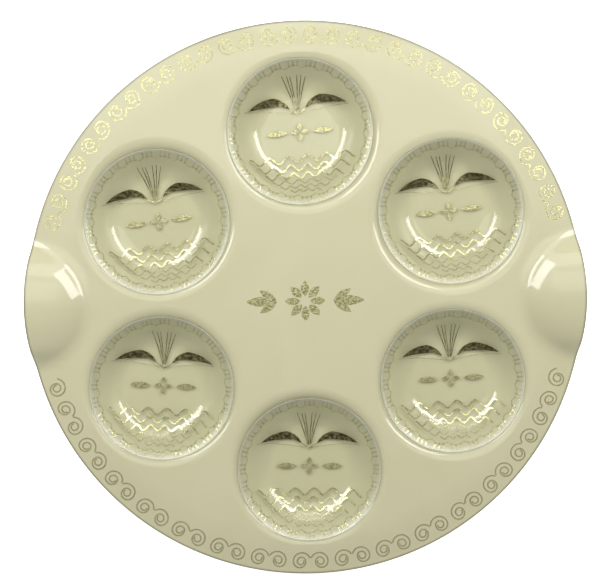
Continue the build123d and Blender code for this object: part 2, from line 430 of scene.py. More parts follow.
@dataclass(frozen=True)
class GoldFoil:
    """Stamped gold foil, mottled and worn through in specks, darker where it is hatched and where shade is
    painted on it.

    Attributes:
        bright: Colour of the bare metal.
        dark: Colour of its dark spots, of hatched foil and of painted shade.
        mottle: Pattern of the spots.
        specks: Pattern of the wear.
        crinkle: Pattern of the crinkles, after stretching.
        stretch: Crinkles in a metre along X, Y and Z.
        relief: Height of the crinkles.
        spots: Values of the mottle at which a spot starts and is full.
        spot_shade: Darkness of a spot.
        hatch_and_shade_depth: Darkness of fully hatched foil, with its painted shade.
        roughness: Roughness of the metal.
        speck_rough: More of it in the specks.
        wear: Value of the specks at which the metal starts to wear through.
        wear_edge: Width of the worn edge, in the same values.
        worn: Share of the metal that is gone there.
    """

    bright: Colour = srgb(240, 234, 176)
    # Dark spots, hatched foil and painted shade are all mixed towards this colour.
    dark: Colour = srgb(84, 79, 45)
    mottle: Pattern = Pattern(0.0014, 4.0, 0.5)
    specks: Pattern = Pattern(0.0005, 3.0)
    crinkle: Pattern = Pattern(1.0, 3.0)
    stretch: Triple = (500.0, 1600.0, 900.0)
    relief: Relief = Relief(0.0004, 0.28)
    spots: Pair = (0.4, 0.62)
    spot_shade: float = 0.42
    hatch_and_shade_depth: float = 0.65
    roughness: float = 0.12
    speck_rough: float = 0.16
    wear: float = 0.68
    wear_edge: float = 0.06
    worn: float = 0.85

    def material(self) -> bpy.types.Material:
        """Builds the material.

        Returns:
            The material.
        """
        recipe = Recipe(bpy.data.materials.new("gold_foil"))
        place = recipe.place()
        mottle = recipe.noise(place, self.mottle)
        specks = recipe.noise(place, self.specks)
        drawn = recipe.node("ShaderNodeMapping", None, {"Vector": place, "Scale": self.stretch})
        crinkle = recipe.noise(drawn, self.crinkle)
        # Painted shade: this mark darkens hatched strips further, standing in for the dark room that the
        # foil mirrors.
        hatching_and_shade = recipe.mark("hatch_and_shade") * self.hatch_and_shade_depth
        shade = mottle.between(*self.spots) * self.spot_shade + hatching_and_shade
        holes = specks.between(self.wear, self.wear + self.wear_edge)
        return recipe.finish({
            "Base Color": recipe.mix(shade, self.bright, self.dark),
            "Metallic": 1.0,
            "Roughness": self.roughness + self.speck_rough * specks,
            "Alpha": recipe.mark("cover") * (1.0 - self.worn * holes),
            "Normal": recipe.bump(crinkle, self.relief),
        })


@dataclass(frozen=True)
class PaleFloor:
    """Plain pale paper sweep.

    Attributes:
        light: Colour of the paper.
        grey: Colour of its grain.
        grain: Pattern of the grain.
        roughness: Its roughness.
        glow: Strength of its own light, which keeps it white.
    """

    light: Colour = (0.93, 0.93, 0.92, 1.0)
    grey: Colour = (0.9, 0.9, 0.89, 1.0)
    grain: Pattern = Pattern(0.003, 3.0)
    roughness: float = 0.9
    glow: float = 0.7

    def material(self) -> bpy.types.Material:
        """Builds the material.

        Returns:
            The material.
        """
        recipe = Recipe(bpy.data.materials.new("pale_floor"))
        grain = recipe.noise(recipe.place(), self.grain)
        return recipe.finish({
            "Base Color": recipe.mix(grain, self.light, self.grey),
            "Roughness": self.roughness,
            "Emission Color": WHITE,
            "Emission Strength": self.glow,
        })


@dataclass
class Profile:
    """Outline of a turned shape, drawn as lines and arcs out from its axis, in mm.

    Attributes:
        radius: Distance of the pen from the axis.
        height: Height of the pen.
        slope: Heading of the pen above the horizontal, in degrees.
        step: Largest turn between two points of an arc, in degrees.
        points: Radius and height of each point drawn so far.
    """

    radius: float
    height: float
    slope: float = 0.0
    step: float = FINE_STEP
    points: list[Pair] = field(default_factory=list)

    def __post_init__(self) -> None:
        """Notes the first point."""
        self.points.append((self.radius, self.height))

    def line(self, length: float) -> "Profile":
        """Draws straight ahead.

        Args:
            length: Length of the line.

        Returns:
            The profile.
        """
        self.radius += length * math.cos(math.radians(self.slope))
        self.height += length * math.sin(math.radians(self.slope))
        self.points.append((self.radius, self.height))
        return self

    def arc(self, radius: float, turn: float) -> "Profile":
        """Draws an arc.

        Args:
            radius: Radius of the arc.
            turn: Turn of the heading in degrees, upwards if positive.

        Returns:
            The profile.
        """
        count = max(2, math.ceil(abs(turn) / self.step))
        half = turn / count / 2
        chord = 2 * radius * math.sin(math.radians(abs(half)))
        for _ in range(count):
            self.slope += half
            self.line(chord)
            self.slope += half
        return self

    def height_at(self, radius: np.ndarray) -> np.ndarray:
        """Height over given distances from the axis."""
        known, heights = np.array(self.points).T
        return np.interp(radius, known, heights)


def smooth_step(value: np.ndarray) -> np.ndarray:
    """Smooth rise from 0 at 0 to 1 at 1."""
    share = np.clip(value, 0, 1)
    return share * share * (3 - 2 * share)


def normals_of(surface: Surface, x: np.ndarray, y: np.ndarray, reach: float = 0.25) -> Points:
    """Normals of a height surface.

    Args:
        surface: Height over x and y, in mm.
        x: Places along X.
        y: Places along Y.
        reach: Distance of the sampled neighbours, in mm.

    Returns:
        Unit normals, with one row of three numbers for each place.
    """
    slope_x = (surface(x + reach, y) - surface(x - reach, y)) / (2 * reach)
    slope_y = (surface(x, y + reach) - surface(x, y - reach)) / (2 * reach)
    normals = np.stack([-slope_x, -slope_y, np.ones_like(slope_x)], axis=-1)
    return normals / np.linalg.norm(normals, axis=-1, keepdims=True)


def mesh_object(name: str, points: Points, faces: list,
                normals: Optional[Points] = None) -> bpy.types.Object:
    """Makes a smooth mesh object at rest in the shared frame.

    Args:
        name: Name of the object.
        points: Corners in mm.
        faces: Corner numbers of each face.
        normals: Normals to set; a row that isn't finite keeps the mesh's own normal.

    Returns:
        The new object, linked to the scene.
    """
    mesh = bpy.data.meshes.new(name)
    mesh.from_pydata((points * MM).tolist(), [], faces)
    mesh.update()
    mesh.shade_smooth()
    if normals is not None:
        own = np.zeros(len(points) * 3, np.float32)
        mesh.vertex_normals.foreach_get("vector", own)
        chosen = np.where(np.isfinite(normals), normals, own.reshape(-1, 3))
        mesh.normals_split_custom_set_from_vertices(chosen.tolist())
    made = bpy.data.objects.new(name, mesh)
    bpy.context.scene.collection.objects.link(made)
    return made


def set_mark(piece: bpy.types.Object, name: str, shares: Points) -> None:
    """Stores a share at each corner of a piece for its material."""
    piece.data.attributes.new(name, "FLOAT", "POINT").data.foreach_set("value", shares.astype(np.float32))


def turned_faces(rows: int, columns: int) -> list[list[int]]:
    """Faces of a closed surface made of rings between two poles.

    Args:
        rows: Number of rings.
        columns: Points in each ring.

    Returns:
        Faces over the rings' points, then the first pole and the last.
    """
    first, last = rows * columns, rows * columns + 1
    turn = [(column, (column + 1) % columns) for column in range(columns)]
    faces = [[first, a, b] for a, b in turn]
    for row in range(rows - 1):
        low, high = row * columns, (row + 1) * columns
        faces += [[low + a, high + a, high + b, low + b] for a, b in turn]
    end = (rows - 1) * columns
    faces += [[last, end + b, end + a] for a, b in turn]
    return faces


def dress(piece: bpy.types.Object, body: str, nodes: Sequence[str],
          material: bpy.types.Material) -> None:
    """Gives a piece its material and ties it to the part.

    Args:
        piece: The piece.
        body: Body that it moves with.
        nodes: Solids that it stands for.
        material: Its material.
    """
    piece.data.materials.append(material)
    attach(piece, body)
    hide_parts(*nodes)
    log.info("%s rides on %s with %d corners", piece.name, body, len(piece.data.vertices))


@dataclass(frozen=True)
class DishShape:
    """Sizes of a clear dish, in mm.

    Attributes:
        foot: Radius of the flat foot.
        knee: Radius of the bend from the foot to the wall, outside.
        ball: Radius of the wall, outside.
        wall_slope: Slope at the wall's upper end, in degrees.
        bend: Radius of the bend from the wall to the band, outside.
        band_slope: Slope of the band, in degrees.
        band: Length of the straight band.
        wall: Thickness.
        rim: Rounding of the rim.
        rim_step: Largest turn between two points of that rounding, in degrees.
    """

    foot: float = 18.0
    knee: float = 17.0
    ball: float = 50.0
    wall_slope: float = 47.0
    bend: float = 3.0
    band_slope: float = 25.0
    band: float = 2.95
    wall: float = 1.4
    rim: float = 0.5
    rim_step: float = 18.0

    def profile(self, depth: float, step: float = FINE_STEP) -> Profile:
        """Profile of the dish up to its rounded rim.

        Args:
            depth: Depth in from the outside.
            step: Largest turn between two points, in degrees.

        Returns:
            The profile above the dish's foot.
        """
        turn = math.degrees(math.asin(self.foot / (self.ball - self.knee)))
        drawn = Profile(0.0, depth, step=step).line(self.foot).arc(self.knee - depth, turn)
        drawn.arc(self.ball - depth, self.wall_slope - turn)
        drawn.arc(self.bend + depth, self.band_slope - self.wall_slope)
        return drawn.line(self.band - self.rim)

    def section(self, step: float) -> Points:
        """Whole wall from the middle of the foot, round the rim and back.

        Args:
            step: Largest turn between two points, in degrees.

        Returns:
            Rows of radius and height.
        """
        outside = self.profile(0.0, step)
        outside.step = self.rim_step
        outside.arc(self.rim, 90).line(self.wall - 2 * self.rim).arc(self.rim, 90)
        inside = self.profile(self.wall, step)
        return np.array(outside.points + inside.points[-2::-1])


@dataclass
class Dish:
    """One loose clear dish in its well.

    Attributes:
        name: Name of its solid and of its body.
        turn: Turn in its well, in degrees.
        shape: Its sizes.
        columns: Points round it.
        step: Largest turn between two points of its wall, in degrees.
        ribs: Radii between which the smooth inside turns into the ribbed band, in mm.
        rim: Radii between which the band turns into the thick glassy rim, which carries painted shade and
            more gloss, in mm.
    """

    name: str
    turn: float
    shape: DishShape = DishShape()
    columns: int = 144
    step: float = 2.5
    ribs: Pair = (33.5, 36.0)
    rim: Pair = (38.6, 39.3)

    def __post_init__(self) -> None:
        """Reads the middle of its foot from the frame, in mm."""
        low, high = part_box(self.name)
        self.seat = np.array([(low.x + high.x) / 2, (low.y + high.y) / 2, low.z]) / MM

    def inside(self) -> Surface:
        """Finds its inside.

        Returns:
            Height of the inside over the shared frame's plan.
        """
        x0, y0, z0 = self.seat
        profile = self.shape.profile(self.shape.wall)
        return lambda x, y: z0 + profile.height_at(np.hypot(x - x0, y - y0))

    def to_frame(self, grid: Points) -> Points:
        """Turns and moves plan points from the dish's own frame to the shared frame."""
        return turned(grid, self.turn) + self.seat[:2]

    def build(self, material: bpy.types.Material) -> None:
        """Makes the dish.

        Args:
            material: Its material.
        """
        section = self.shape.section(self.step)
        angles = np.linspace(0, 2 * math.pi, self.columns, endpoint=False)
        ring = np.stack([np.cos(angles), np.sin(angles)], axis=-1)
        rings = section[1:-1, 0, None, None] * ring[None]
        heights = np.broadcast_to(section[1:-1, 1, None, None], rings.shape[:2] + (1,))
        points = np.concatenate([rings, heights], axis=-1).reshape(-1, 3)
        poles = np.array([[0, 0, section[0, 1]], [0, 0, section[-1, 1]]])
        faces = turned_faces(len(section) - 2, self.columns)
        points = np.concatenate([points, poles])
        piece = mesh_object(f"{self.name}_bowl", points + self.seat, faces)
        reach = np.hypot(points[:, 0], points[:, 1])
        # The rim mark also paints shade along the dish's rim.
        for mark, (start, end) in {"ribbed": self.ribs, "rim": self.rim}.items():
            set_mark(piece, mark, smooth_step((reach - start) / (end - start)))
        dress(piece, self.name, [self.name], material)


@dataclass
class Plate:
    """Plate with its wells, sloping border and finger lifts, in mm.

    Attributes:
        wall: Thickness of the moulding.
        clearance: Room between a dish's foot and its well.
        well_ball: Radius of a well's wall.
        lip: Radius of a well's lip.
        flange: Width from the flat deck to the outline.
        flange_bend: Radius of the bend from the deck to the border.
        flange_slope: Slope of the border, in degrees.
        edge: Rounding of the outline.
        lift_height: Height of a finger lift over the deck.
        lift_ball: Radius of a finger lift.
        lift_blend: Radius of the blend from a lift to the deck.
        lift_merge: Share of a lift's height at which the border's fall has gone.
        columns: Points round the plate.
        spacing: Distance between the rings of its upper side. Its underside has every second ring.
        edge_rows: Rings on each half of the rounded outline.
        satin_end: Radius at which the satin of a well has turned into gloss.
        satin_fade: Width over which it does.
        dish: Sizes of the dishes.
    """

    wall: float = 2.2
    clearance: float = 2.5
    well_ball: float = 53.0
    lip: float = 9.0
    flange: float = 21.5
    flange_bend: float = 60.0
    flange_slope: float = 8.0
    edge: float = 0.7
    lift_height: float = 11.5
    lift_ball: float = 55.0
    lift_blend: float = 15.0
    lift_merge: float = 0.6
    columns: int = 540
    spacing: float = 1.0
    edge_rows: int = 5
    satin_end: float = 39.0
    satin_fade: float = 4.0
    dish: DishShape = DishShape()

    def __post_init__(self) -> None:
        """Reads the outline, the deck and the wells from the frame."""
        self.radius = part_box("plate")[1].x / MM
        self.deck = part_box("centre_foil")[0].z / MM - FOIL_LIFT
        self.wells = [(m["pos_m"][0] / MM, m["pos_m"][1] / MM) for m in frame["record"]["mounts"]]

    def well_profile(self, depth: float) -> Profile:
        """Profile of a well.

        Args:
            depth: Depth below its upper side.

        Returns:
            The profile from the well's axis to its mouth.
        """
        floor, knee = self.dish.foot + self.clearance, self.dish.knee
        turn = math.degrees(math.asin(floor / (self.well_ball - knee)))
        ball_height = self.wall + knee + (self.well_ball - knee) * math.cos(math.radians(turn))
        drop = ball_height - (self.deck - self.lip)
        slope = math.degrees(math.acos(drop / (self.well_ball + self.lip)))
        drawn = Profile(0.0, self.wall - depth).line(floor).arc(knee + depth, turn)
        return drawn.arc(self.well_ball + depth, slope - turn).arc(self.lip - depth, -slope)

    def lift_profile(self, depth: float) -> Profile:
        """Profile of a finger lift over a level deck.

        Args:
            depth: Depth below its upper side.

        Returns:
            The profile from the lift's top down to the deck.
        """
        reach = self.lift_ball + self.lift_blend
        turn = math.degrees(math.acos((reach - self.lift_height) / reach))
        drawn = Profile(0.0, self.deck + self.lift_height - depth)
        return drawn.arc(self.lift_ball - depth, -turn).arc(self.lift_blend + depth, turn)

    def side(self, depth: float) -> Surface:
        """Height of the plate's surface at a depth below its upper side.

        Args:
            depth: Depth, 0 for the upper side.

        Returns:
            Height over the plan.
        """
        border = Profile(0.0, self.deck - depth).line(self.radius - self.flange)
        border.arc(self.flange_bend - depth, -self.flange_slope).line(self.flange)
        well, lift = self.well_profile(depth), self.lift_profile(depth)
        deck = self.deck - depth
        merged = self.lift_merge * self.lift_height

        def height(x: np.ndarray, y: np.ndarray) -> np.ndarray:
            """Finds the height of the surface.

            Args:
                x: Places along X.
                y: Places along Y.

            Returns:
                Height over each place.
            """
            level = border.height_at(np.hypot(x, y))
            for centre in (-self.radius, self.radius):
                rise = lift.height_at(np.hypot(x - centre, y)) - deck
                level = level + rise + (deck - level) * smooth_step(rise / merged)
            for well_x, well_y in self.wells:
                reach = np.hypot(x - well_x, y - well_y)
                level = np.where(reach < well.radius, np.minimum(level, well.height_at(reach)), level)
            return level

        return height

    def build(self, material: bpy.types.Material) -> None:
        """Makes the plate.

        Args:
            material: Its material.
        """
        upper, under = self.side(0.0), self.side(self.wall)
        angles = np.linspace(0, 2 * math.pi, self.columns, endpoint=False)
        inner = self.radius - self.edge
        rings = np.arange(self.spacing, inner, self.spacing)
        top_radii = np.append(rings, inner)
        under_radii = np.append(inner, rings[::-2])
        edge_turn = np.radians(np.linspace(0, 90, self.edge_rows + 1)[1:])

        def ring_points(radius: np.ndarray, surface: Surface) -> Points:
            """Rings of points on a surface."""
            x, y = radius[:, None] * np.cos(angles), radius[:, None] * np.sin(angles)
            return np.stack([x, y, surface(x, y)], axis=-1)

        def edge_points(start: Points, turn: np.ndarray, fall: float) -> Points:
            """Rounds the outline.

            Args:
                start: Ring at which the rounding starts.
                turn: Turn of each row, in radians.
                fall: -1 downwards from the upper side, 1 upwards from the underside.

            Returns:
                Rows of points out to the outline.
            """
            out = inner + self.edge * np.sin(turn)
            x, y = out[:, None] * np.cos(angles), out[:, None] * np.sin(angles)
            z = start[..., 2] + fall * self.edge * (1 - np.cos(turn))[:, None]
            return np.stack([x, y, z], axis=-1)

        top, below = ring_points(top_radii, upper), ring_points(under_radii, under)
        round_top = edge_points(top[-1:], edge_turn, -1.0)
        round_below = edge_points(below[:1], edge_turn[::-1], 1.0)
        rows = np.concatenate([top, round_top, round_below, below])
        poles = np.array([[0, 0, self.deck], [0, 0, self.deck - self.wall]])
        points = np.concatenate([rows.reshape(-1, 3), poles])
        normals = np.full_like(points, np.nan)
        flat = top.reshape(-1, 3)
        normals[: len(flat)] = normals_of(upper, flat[:, 0], flat[:, 1])
        faces = turned_faces(len(rows), self.columns)
        piece = mesh_object("plate_shell", points, faces, normals)
        x, y = points[:, 0], points[:, 1]
        reach = np.min([np.hypot(x - well_x, y - well_y) for well_x, well_y in self.wells], axis=0)
        set_mark(piece, "well", smooth_step((self.satin_end - reach) / self.satin_fade))
        # Painted shade along the rounded outline, darkest at the outline.
        out = np.hypot(x, y) - (inner - self.edge)
        set_mark(piece, "edge", smooth_step(out / (2 * self.edge)))
        dress(piece, "plate", ["plate"], material)


def path_arcs(start: Pair, heading: float, radii: Iterable[float], turn: float, count: int) -> Points:
    """Plan path of arcs that follow each other smoothly.

    Args:
        start: First point.
        heading: Heading at the start, in degrees.
        radii: Radius of each arc.
        turn: Turn of each arc in degrees, to the left if positive.
        count: Points in each arc.

    Returns:
        Rows of x and y.
    """
    points = [start]
    step = turn / count
    for radius in radii:
        chord = 2 * radius * math.sin(math.radians(abs(step) / 2))
        for _ in range(count):
            heading += step / 2
            way = math.radians(heading)
            x, y = points[-1]
            points.append((x + chord * math.cos(way), y + chord * math.sin(way)))
            heading += step / 2
    return np.array(points)


def arc_through(first: Pair, middle: Pair, last: Pair, count: int) -> Points:
    """Smooth plan curve through three points.

    Args:
        first: First point.
        middle: Point in between.
        last: Last point.
        count: Number of points on the curve.

    Returns:
        Rows of x and y.
    """
    a, b, c = (np.array(p, float) for p in (first, middle, last))
    share = np.linalg.norm(b - a) / (np.linalg.norm(b - a) + np.linalg.norm(c - b))
    pull = (b - (1 - share) ** 2 * a - share**2 * c) / (2 * share * (1 - share))
    t = np.linspace(0, 1, count)[:, None]
    return (1 - t) ** 2 * a + 2 * t * (1 - t) * pull + t**2 * c


def ribbon(path: Points, width: Union[float, np.ndarray], across: int = 3) -> Points:
    """Strip of the plan along a path.

    Args:
        path: Rows of x and y.
        width: Width of the strip, the same all along or for each point.
        across: Points across the strip.

    Returns:
        Grid of plan points.
    """
    along = np.gradient(path, axis=0)
    along /= np.linalg.norm(along, axis=1, keepdims=True)
    left = np.stack([-along[:, 1], along[:, 0]], axis=-1)
    widths = np.broadcast_to(np.asarray(width, float), len(path))[:, None]
    offsets = widths * np.linspace(0.5, -0.5, across)
    return path[:, None] + offsets[..., None] * left[:, None]


def between_edges(first: Points, second: Points, across: int = 5) -> Points:
    """Strip of the plan between two edges with equally many points."""
    share = np.linspace(0, 1, across)[None, :, None]
    return first[:, None] * (1 - share) + second[:, None] * share


def leaf(length: float, width: float, count: int = 18) -> Points:
    """Pointed leaf along +X from the origin.

    Args:
        length: Its length.
        width: Its greatest width.
        count: Points along it.

    Returns:
        Grid of plan points.
    """
    along = np.linspace(0, 1, count)
    half = 2 * width * along * (1 - along)
    upper, lower = (np.stack([along * length, side * half], axis=-1) for side in (1, -1))
    return between_edges(upper, lower)


def turned(grid: Points, angle: float) -> Points:
    """Plan points turned about the origin by an angle in degrees."""
    c, s = math.cos(math.radians(angle)), math.sin(math.radians(angle))
    return grid @ np.array([[c, s], [-s, c]])


def mirrored(grid: Points) -> Points:
    """Plan points mirrored about the X axis."""
    return grid * np.array([1.0, -1.0])


def with_twin(grid: Points) -> list[Points]:
    """Plan points and their twin, mirrored about the Y axis."""
    return [grid, grid * np.array([-1.0, 1.0])]


@dataclass
class FoilSheet:
    """Thin foil that follows the surface that carries it.

    Attributes:
        node: Solid that it stands for.
        body: Body that it moves with.
        surface: Height of the carrying surface over the plan, in mm.
        standoff: Height of the foil over that surface, in mm.
        grids: Plan points of its strips.
        marks: Cover of each strip, and how densely it is hatched and painted with shade.
    """

    node: str
    body: str
    surface: Surface
    standoff: float = FOIL_STANDOFF
    grids: list[Points] = field(default_factory=list)
    marks: list[Pair] = field(default_factory=list)

    def add(self, *grids: Points, cover: float = 1.0, hatch_and_shade: float = 0.0) -> None:
        """Adds strips to the foil.

        Args:
            grids: Plan points of the strips in the shared frame.
            cover: Share of metal that covers them.
            hatch_and_shade: How densely they are hatched and painted with shade, from 0 to 1.
        """
        self.grids.extend(grids)
        self.marks.extend([(cover, hatch_and_shade)] * len(grids))

    def build(self, material: bpy.types.Material) -> None:
        """Makes the foil.

        Args:
            material: Its material.
        """
        corners, faces, start = [], [], 0
        for grid in self.grids:
            rows, columns = grid.shape[:2]
            number = start + np.arange(rows * columns).reshape(rows, columns)
            near, far = number[:-1], number[1:]
            quads = np.stack([near[:, :-1], far[:, :-1], far[:, 1:], near[:, 1:]], axis=-1)
            middle = rows // 2
            along, across = grid[middle, 0] - grid[middle - 1, 0], grid[middle, -1] - grid[middle, 0]
            # Each strip faces up, whichever way it runs.
            if along[0] * across[1] - along[1] * across[0] < 0:
                quads = quads[..., ::-1]
            faces += quads.reshape(-1, 4).tolist()
            corners.append(grid.reshape(-1, 2))
            start += rows * columns
        plan = np.concatenate(corners)
        counts = [len(corner) for corner in corners]
        layer = np.repeat(np.arange(len(counts)) % FOIL_LAYERS, counts)
        height = self.surface(plan[:, 0], plan[:, 1]) + self.standoff + FOIL_STEP * layer
        normals = normals_of(self.surface, plan[:, 0], plan[:, 1])
        piece = mesh_object(f"{self.node}_sheet", np.column_stack([plan, height]), faces, normals)
        marks = np.repeat(self.marks, counts, axis=0)
        set_mark(piece, "cover", marks[:, 0])
        # Hatched look and painted shade of each strip.
        set_mark(piece, "hatch_and_shade", marks[:, 1])
        dress(piece, self.body, [self.node], material)


@dataclass(frozen=True)
class ScrollRow:
    """One row of scrolls.

    Attributes:
        node: Solid that the row stands for.
        pairs: Number of pairs.
        middle: Bearing of the row's middle, in degrees.
        singles: Whether a single spiral stands past each end.
    """

    node: str
    pairs: int
    middle: float
    singles: bool


@dataclass
class RimScrolls:
    """Rows of paired scrolls along the border, in mm.

    Attributes:
        plate: Plate that carries them.
        inset: Distance of a row from the outline.
        turns: Radii of a spiral's half turns.
        lean: Lean of a spiral at its cusp, in degrees.
        cusp: Place of the cusp, out from the row and along it.
        line: Width of the line.
        count: Points in a half turn.
        pitch: Bearing between neighbouring pairs, in degrees.
        cover: Share of metal that covers the line.
        rows: The upper and the lower row.
    """

    plate: Plate
    inset: float = 9.2
    turns: tuple[float, ...] = (4.8, 3.4, 2.3, 1.8)
    lean: float = 20.0
    cusp: Pair = (0.0, 0.3)
    line: float = 0.85
    count: int = 14
    pitch: float = 360 / 39
    cover: float = 0.52
    rows: tuple[ScrollRow, ...] = (
        ScrollRow("upper_rim_foil", pairs=16, middle=90, singles=False),
        ScrollRow("lower_rim_foil", pairs=15, middle=-90, singles=True),
    )

    def spiral(self) -> Points:
        """One spiral, with +X away from the plate's middle."""
        path = path_arcs(self.cusp, 180 - self.lean, self.turns, -180, self.count)
        return ribbon(path, self.line)

    def place(self, grid: Points, bearing: float) -> Points:
        """Moves a strip out to its row and round to a bearing in degrees."""
        return turned(grid + np.array([self.plate.radius - self.inset, 0.0]), bearing)

    def build(self, material: bpy.types.Material) -> None:
        """Makes the rows.

        Args:
            material: Their material.
        """
        right = self.spiral()
        left = mirrored(right)
        for row in self.rows:
            sheet = FoilSheet(row.node, "plate", self.plate.side(0.0))
            first = row.middle - self.pitch * (row.pairs - 1) / 2
            for number in range(row.pairs):
                bearing = first + self.pitch * number
                sheet.add(self.place(right, bearing), self.place(left, bearing), cover=self.cover)
            if row.singles:
                sheet.add(self.place(right, first - self.pitch), cover=self.cover)
                sheet.add(self.place(left, first + self.pitch * row.pairs), cover=self.cover)
            sheet.build(material)


@dataclass
class CentreOrnament:
    """Flower between two sprays of leaves in the middle of the deck, in mm.

    Attributes:
        plate: Plate that carries it.
        petals: Number of petals.
        petal: Length and width of a petal.
        eye: Radius at which the petals start.
        spray_leaf: Length and width of a spray's middle leaf.
        side_leaf: Length and width of its side leaves.
        spray_start: Distance of a spray from the middle.
        spread: Angle of the side leaves, in degrees.
        hatch_and_shade: How densely the foil is hatched and painted with shade.
    """

    plate: Plate
    petals: int = 8
    petal: Pair = (8.5, 4.4)
    eye: float = 2.6
    spray_leaf: Pair = (17.0, 5.4)
    side_leaf: Pair = (11.5, 4.0)
    spray_start: float = 15.5
    spread: float = 34.0
    # Darkens the ornament for its hatched look and with painted shade.
    hatch_and_shade: float = 0.08

    def build(self, material: bpy.types.Material) -> None:
        """Makes the ornament.

        Args:
            material: Its material.
        """
        sheet = FoilSheet("centre_foil", "plate", self.plate.side(0.0))
        petal = leaf(*self.petal) + np.array([self.eye, 0.0])
        for number in range(self.petals):
            sheet.add(turned(petal, 360 / self.petals * number), hatch_and_shade=self.hatch_and_shade)
        start = np.array([self.spray_start, 0.0])
        for side in (0, 180):
            sheet.add(turned(leaf(*self.spray_leaf) + start, side), hatch_and_shade=self.hatch_and_shade)
            for spread in (self.spread, -self.spread):
                sheet.add(turned(turned(leaf(*self.side_leaf), spread) + start, side), hatch_and_shade=self.hatch_and_shade)
        sheet.build(material)


@dataclass
class DishOrnament:
    """Foil of a dish in the dish's own plan, with its top towards +Y, in mm.

    Attributes:
        dish: Dish that carries it.
        base: Foot of the sprig.
        heel, rise, crown, fall, tip: Points along the upper edge of the right leaf.
        neck, belly: Points along its lower edge.
        upper_counts: Points of the upper edge before and after the crown.
        lower_counts: Points of the lower edge before and after the neck, as many in all.
        stem_line, stem_count: Width of a stem and its points.
        blades: Tips of the upright blades.
        blade_start: Height of their roots over the foot of the sprig.
        blade_root: Share of the tip's side step at the root.
        blade_bow: The same share half way, and the height there.
        blade_line, blade_count: Greatest width of a blade and its points.
        blade_taper: Angles over which a sine gives a blade's width, in radians.
        tendrils: Ends of the tendrils.
        tendril_bow: Share of the end's side step half way, and the height there.
        tendril_line, tendril_count: Width of a tendril and its points.
        mark_petal, mark_eye: Length and width of the flower's petals, and where they start.
        mark_leaf, mark_start: Length and width of the leaves beside it, and where they start.
        waves: Height, wave length and half swing of each wavy line.
        wave_line, wave_count: Width of a wavy line, and points in half a wave.
        wave_reach: Radius that the wavy lines stay within.
        scallops: Number of scallops.
        scallop_tip, scallop_crest: Radii of their lowest and highest points.
        scallop_line, scallop_count: Width of a scallop's line and its points.
        rays: Number of rays in a scallop.
        ray_start, ray_end: Start of a ray beyond the tips, and radius of its end.
        ray_line, ray_count: Width of a ray and its points.
        full_waves: Number of wavy lines in full foil.
        faint_cover, lace_cover: Share of metal in the faint lines and in the lace.
        leaf_hatch_and_shade, blade_hatch_and_shade, faint_hatch_and_shade, lace_hatch_and_shade: How
        densely they are hatched and painted with shade.
    """

    dish: Dish
    base: Pair = (0.0, 9.9)
    heel: Pair = (4.1, 12.5)
    rise: Pair = (7.8, 17.3)
    crown: Pair = (12.9, 19.6)
    fall: Pair = (20.9, 17.7)
    tip: Pair = (27.0, 13.6)
    neck: Pair = (8.6, 14.9)
    belly: Pair = (16.9, 14.8)
    upper_counts: tuple[int, int] = (10, 12)
    lower_counts: tuple[int, int] = (6, 16)
    stem_line: float = 0.7
    stem_count: int = 6
    blades: tuple[Pair, ...] = (
        (-6.9, 31.0), (-4.2, 30.5), (-2.4, 30.5),
        (1.5, 30.9), (3.7, 30.7), (6.0, 29.7),
    )
    blade_start: float = 2.2
    blade_root: float = 0.12
    blade_bow: Pair = (0.5, 20.5)
    blade_line: float = 0.55
    blade_count: int = 16
    blade_taper: Pair = (0.6, 2.3)
    tendrils: tuple[Pair, ...] = ((-29.2, 13.2), (27.8, 12.7))
    tendril_bow: Pair = (0.45, 12.0)
    tendril_line: float = 0.4
    tendril_count: int = 14
    mark_petal: Pair = (4.2, 2.4)
    mark_eye: float = 0.8
    mark_leaf: Pair = (11.5, 3.2)
    mark_start: float = 7.0
    waves: tuple[Triple, ...] = (
        (-14.6, 10.5, 1.9), (-19.2, 9.3, 1.7), (-23.6, 7.8, 1.45),
        (-27.0, 7.2, 1.0), (-29.7, 5.5, 0.75), (-32.0, 4.8, 0.6),
    )
    wave_line: float = 0.8
    wave_count: int = 8
    wave_reach: float = 33.2
    scallops: int = 24
    scallop_tip: float = 34.4
    scallop_crest: float = 36.0
    scallop_line: float = 0.6
    scallop_count: int = 13
    rays: int = 3
    ray_start: float = 0.8
    ray_end: float = 38.5
    ray_line: float = 0.9
    ray_count: int = 5
    full_waves: int = 3
    faint_cover: float = 0.45
    lace_cover: float = 0.32
    # Darkening of each kind of strip: hatched look and painted shade.
    leaf_hatch_and_shade: float = 1.0
    blade_hatch_and_shade: float = 0.6
    faint_hatch_and_shade: float = 0.3
    lace_hatch_and_shade: float = 0.35

    def leaves(self) -> list[Points]:
        """Draws the two broad leaves.

        Returns:
            Their strips.
        """
        rising, falling = self.upper_counts
        upper = np.concatenate([
            arc_through(self.heel, self.rise, self.crown, rising)[:-1],
            arc_through(self.crown, self.fall, self.tip, falling),
        ])
        straight, curved = self.lower_counts
        lower = np.concatenate([
            np.linspace(self.heel, self.neck, straight)[:-1],
            arc_through(self.neck, self.belly, self.tip, curved),
        ])
        return with_twin(between_edges(upper, lower))

    def stems(self) -> list[Points]:
        """Stems of the leaves."""
        return with_twin(ribbon(np.linspace(self.base, self.heel, self.stem_count), self.stem_line))

    def uprights(self) -> list[Points]:
        """Draws the thin upright blades between the leaves.

        Returns:
            Their strips.
        """
        width = self.blade_line * np.sin(np.linspace(*self.blade_taper, self.blade_count))
        side, height = self.blade_bow
        strips = []
        for top in self.blades:
            root = (self.blade_root * top[0], self.base[1] + self.blade_start)
            path = arc_through(root, (side * top[0], height), top, self.blade_count)
            strips.append(ribbon(path, width))
        return strips

